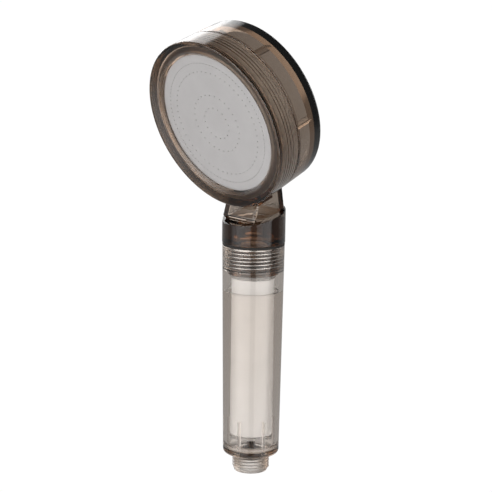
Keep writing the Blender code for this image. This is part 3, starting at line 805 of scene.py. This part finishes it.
def cartridge(cotton, clear, brown):
    """Fibre sleeve, its two end caps and its locating pin, and the inlet ring under them."""
    low, high = SLEEVE
    edge = SLEEVE_EDGE_R
    outline = arc((SLEEVE_R - edge, low + edge), edge, -90, 0, 4)
    step = (high - low) / SLEEVE_ROWS
    outline += [(SLEEVE_R, low + i * step) for i in range(2, SLEEVE_ROWS - 1)]
    outline += arc((SLEEVE_R - edge, high - edge), edge, 0, 90, 4)
    outline += [(SLEEVE_BORE_R, high), (SLEEVE_BORE_R, low)]
    sleeve = turned("filter_sleeve", outline, CARTRIDGE_SEGMENTS)
    # The outside is not quite round: slow waves go round and along it.
    for vertex in sleeve.vertices:
        across = vertex.co.xy
        if across.length > (SLEEVE_BORE_R + 1.0) * MM:
            turn = math.atan2(across.y, across.x)
            height = vertex.co.z / MM
            sway = math.sin(3 * turn + height / 9.0) + math.sin(5 * turn - height / 5.3)
            shrink = 1.0 - SLEEVE_WAVE * (1.0 + 0.5 * sway)
            vertex.co.x *= shrink
            vertex.co.y *= shrink
    piece("fibre_sleeve", sleeve, "cartridge", ["filter_sleeve"], cotton)

    cap_high = low - CAP_GAP
    cap_low = cap_high - BOTTOM_CAP_THICKNESS
    plug_high = low + PLUG_LENGTH
    outline = [(0.0, cap_low)] + rounded_side(SLEEVE_R, cap_low, cap_high, CAP_EDGE_R, 4)
    outline += [(PLUG_R, cap_high), (PLUG_R, plug_high - CAP_EDGE_R)]
    outline += [(PLUG_R - CAP_EDGE_R, plug_high), (0.0, plug_high)]
    piece("bottom_cap", turned("filter_bottom_cap", outline, CARTRIDGE_SEGMENTS), "cartridge",
          ["filter_bottom_cap"], clear)

    pin_high = cap_low - CAP_GAP
    outline = [(0.0, PIN_BOTTOM), (PIN_TIP_R, PIN_BOTTOM), (PIN_R, PIN_BOTTOM + 0.8)]
    outline += [(PIN_R, pin_high), (0.0, pin_high)]
    piece("locating_pin", turned("filter_pin", outline, segments=40), "cartridge", ["filter_pin"],
          brown)

    cap_low = high + CAP_GAP
    cap_high = SPIGOT_BOTTOM - CAP_GAP
    groove_low = SEAL_HEIGHT - SEAL_GROOVE_WIDTH / 2
    groove_high = SEAL_HEIGHT + SEAL_GROOVE_WIDTH / 2
    plug_low = high - PLUG_LENGTH
    outline = [(NOZZLE_BORE_R, plug_low), (PLUG_R, plug_low), (PLUG_R, cap_low)]
    outline += rounded_side(TOP_CAP_R, cap_low, cap_high, CAP_EDGE_R, 4)
    outline += [(NOZZLE_R, cap_high), (NOZZLE_R, groove_low), (SEAL_GROOVE_R, groove_low)]
    outline += [(SEAL_GROOVE_R, groove_high), (NOZZLE_R, groove_high), (NOZZLE_R, NOZZLE_TOP - 0.6)]
    outline += [(NOZZLE_R - 0.6, NOZZLE_TOP), (NOZZLE_BORE_R, NOZZLE_TOP)]
    piece("top_cap", turned("filter_top_cap", outline, CARTRIDGE_SEGMENTS), "cartridge",
          ["filter_top_cap"], clear)

    low, high = INLET
    outline = [(INLET_BORE_R, low), (INLET_R, low), (INLET_R, high), (INLET_RIM_R + 0.3, high)]
    outline += [(INLET_RIM_R, INLET_TOP - 0.3), (INLET_RIM_R - 0.3, INLET_TOP)]
    outline += [(INLET_BORE_R, INLET_TOP)]
    piece("flow_ring", turned("inlet_ring", outline, segments=56), "handle", ["inlet_ring"],
          brown)


# ---------------------------------------------------------------- studio


def camera():
    """Camera on its angles, a long way off, aimed a little beside the handle's axis."""
    azimuth = math.radians(VIEW_AZIMUTH)
    elevation = math.radians(VIEW_ELEVATION)
    back = Vector((math.sin(azimuth) * math.cos(elevation),
                   -math.cos(azimuth) * math.cos(elevation), math.sin(elevation)))
    level = Vector((math.cos(azimuth), math.sin(azimuth), 0.0))
    roll = Matrix.Rotation(math.radians(VIEW_ROLL), 3, back)
    right = roll @ level
    up = roll @ back.cross(level)
    place = Vector((0.0, 0.0, VIEW_TARGET_HEIGHT)) - VIEW_ASIDE * right - VIEW_DOWN * up
    place += VIEW_DISTANCE * back
    data = bpy.data.cameras.new("camera")
    data.lens = LENS
    data.sensor_width = 36.0
    data.clip_start = 0.01
    made = bpy.data.objects.new("camera", data)
    turn = Matrix((right, up, back)).transposed().to_4x4()
    made.matrix_world = Matrix.Translation(place * MM) @ turn
    bpy.context.scene.collection.objects.link(made)
    bpy.context.scene.camera = made


def studio_light(tree):
    """Radiance by direction; ramps run smoothly from 0 at their first edge to 1 at their second."""
    place = tree.nodes.new("ShaderNodeTexCoord")

    def node(operation, *values):
        return math_node(tree, operation, *values)

    def along(x, y, z):
        return along_axis(tree, place.outputs["Generated"], (x, y, z))

    def ramp(value, low, high):
        made = tree.nodes.new("ShaderNodeMapRange")
        made.interpolation_type = "SMOOTHSTEP"
        made.inputs["From Min"].default_value = low
        made.inputs["From Max"].default_value = high
        tree.links.new(value, made.inputs["Value"])
        return made.outputs["Result"]

    def turn_ramp(angle, low, high):
        return ramp(angle, math.radians(low), math.radians(high))

    def rise_ramp(low, high):
        return ramp(height, math.sin(math.radians(low)), math.sin(math.radians(high)))

    def blend(share, off, on):
        without = node("MULTIPLY", node("SUBTRACT", 1.0, share), off)
        return node("MULTIPLY_ADD", share, on, without)

    def under_ceiling(light, rise):
        return blend(rise_ramp(rise + RISE_EDGE, rise - RISE_EDGE), CEILING_LIGHT, light)

    azimuth = math.radians(VIEW_AZIMUTH)
    towards = along(math.sin(azimuth), -math.cos(azimuth), 0.0)
    aside = along(math.cos(azimuth), math.sin(azimuth), 0.0)
    height = along(0.0, 0.0, 1.0)
    off_lens = node("ABSOLUTE", node("ARCTAN2", aside, towards))
    off_wall = node("ARCTAN2", node("MULTIPLY", aside, -1.0), node("MULTIPLY", towards, -1.0))
    above = ramp(height, *HORIZON_EDGE)

    fade = blend(turn_ramp(off_lens, LENS_GAP, BOX_FADE_END), BOX_INNER_SHARE, 1.0)
    foot = blend(ramp(height, *BOX_FOOT_HEIGHT), BOX_FOOT_SHARE, 1.0)
    box = node("MULTIPLY", turn_ramp(off_lens, LENS_GAP, LENS_GAP + LENS_EDGE),
               node("MULTIPLY", fade, foot))
    front = node("MULTIPLY_ADD", box, BOX_LIGHT - LENS_LIGHT, LENS_LIGHT)

    lamp_begin, lamp_end = LAMP_SIDE
    begin_edge, end_edge = LAMP_EDGES
    lamp = node("MULTIPLY", turn_ramp(off_wall, lamp_begin - begin_edge, lamp_begin + begin_edge),
                turn_ramp(off_wall, lamp_end + end_edge, lamp_end - end_edge))
    lamp = node("MULTIPLY", lamp,
                node("MULTIPLY", above, rise_ramp(LAMP_RISE + RISE_EDGE, LAMP_RISE - RISE_EDGE)))
    wall = under_ceiling(blend(above, SWEEP_LIGHT, WALL_LIGHT), WALL_RISE)
    back = node("MULTIPLY_ADD", lamp, LAMP_LIGHT - WALL_LIGHT, wall)

    flag_begin, flag_end = FLAG_SIDE
    flag = node("MULTIPLY", turn_ramp(off_lens, flag_begin - FLAG_EDGE, flag_begin + FLAG_EDGE),
                turn_ramp(off_lens, flag_end + FLAG_EDGE, flag_end - FLAG_EDGE))
    flag = node("MULTIPLY", flag, rise_ramp(FLAG_FOOT - RISE_EDGE, FLAG_FOOT + RISE_EDGE))
    flag = node("MULTIPLY", flag, blend(ramp(aside, *MIDDLE_EDGE), LEFT_FLAG_SHARE, 1.0))

    in_front = turn_ramp(off_lens, BOX_END[1], BOX_END[0])
    return blend(flag, blend(in_front, back, under_ceiling(front, BOX_RISE)), FLAG_LIGHT)


def studio():
    """Plain studio all round, a white backdrop that only the camera sees, and a pale floor."""
    world = bpy.data.worlds.new("studio")
    bpy.context.scene.world = world
    world.use_nodes = True
    tree = world.node_tree
    background = tree.nodes["Background"]
    seen = tree.nodes.new("ShaderNodeLightPath").outputs["Is Camera Ray"]
    unseen = math_node(tree, "SUBTRACT", 1.0, seen)
    strength = math_node(tree, "MULTIPLY_ADD", seen, BACKDROP_LIGHT,
                         math_node(tree, "MULTIPLY", studio_light(tree), unseen))
    tree.links.new(strength, background.inputs["Strength"])
    background.inputs["Color"].default_value = (1.0, 1.0, 1.0, 1.0)

    low = FLOOR_TOP - FLOOR_THICKNESS
    floor_mesh = turned("floor", [(0.0, low), (FLOOR_R, low), (FLOOR_R, FLOOR_TOP), (0.0, FLOOR_TOP)],
                        segments=96)
    floor_mesh.materials.append(base_material("pale_floor", (0.93, 0.93, 0.93), 0.8)[0])
    floor = bpy.data.objects.new("floor", floor_mesh)
    bpy.context.scene.collection.objects.link(floor)
    bpy.context.scene.view_settings.view_transform = "Standard"


def main():
    """Build every piece and the studio."""
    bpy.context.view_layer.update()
    camera()
    upright = Vector((0.0, 0.0, 1.0))
    head_axis = HEAD_MATRIX.to_3x3() @ upright
    # Satin zones: centre, axis, reach from it, span along it, roughness. Reaches take in the crests.
    neck_zone = (Vector(), upright, SPIGOT_R + 1.5, (SPIGOT_THREAD[0], COLLAR_BOTTOM - 0.5),
                 NECK_THREAD_ROUGHNESS)
    shelf_zone = (Vector(), upright, SPIGOT_R + 1.0, (BORE_STEP - 0.4, BORE_STEP + 0.2),
                  MOULDED_ROUGHNESS)
    nipple_zone = (Vector(), upright, PIPE_MAJOR_R + 0.5, (0.3, NIPPLE_LENGTH - 0.3), MOULDED_ROUGHNESS)
    rib_zone = (Vector(), upright, FILTER_BORE_R - 0.05, (BOWL_FLOOR + 0.2, RIB_TOP + 0.1),
                MOULDED_ROUGHNESS)
    ring_zone = (HEAD_CENTRE, head_axis, DRUM_CORE_R + 1.5,
                 (0.1 - SEAM_DEPTH, 0.3 - RING_SHOULDER_DEPTH), RING_THREAD_ROUGHNESS)
    smoked = clear_plastic("smoked_resin", (0.107, 0.141, 0.174), 0.015, (neck_zone, ring_zone))
    clear = clear_plastic("clear_resin", (0.037, 0.053, 0.068), 0.015,
                          (neck_zone, shelf_zone, nipple_zone, rib_zone))
    cap = clear_plastic("cap_resin", (0.06, 0.075, 0.09), 0.5)
    cap.node_tree.nodes["Principled BSDF"].inputs["Transmission Weight"].default_value = 0.6
    rubber = solid_plastic("black_rubber", (0.015, 0.014, 0.013), 0.55)
    brown = solid_plastic("brown_plastic", (0.06, 0.042, 0.032), 0.35)
    handle_tube(clear)
    rear_housing(smoked)
    face_ring(smoked)
    spray_plate(spray_steel("blasted_steel"))
    seals(rubber)
    cartridge(cotton_fibre("cotton_fibre"), cap, brown)
    core = bpy.data.objects["filter_core"].data
    core.materials.clear()
    core.materials.append(solid_plastic("white_plastic", (0.78, 0.76, 0.72), 0.4))
    studio()


main()
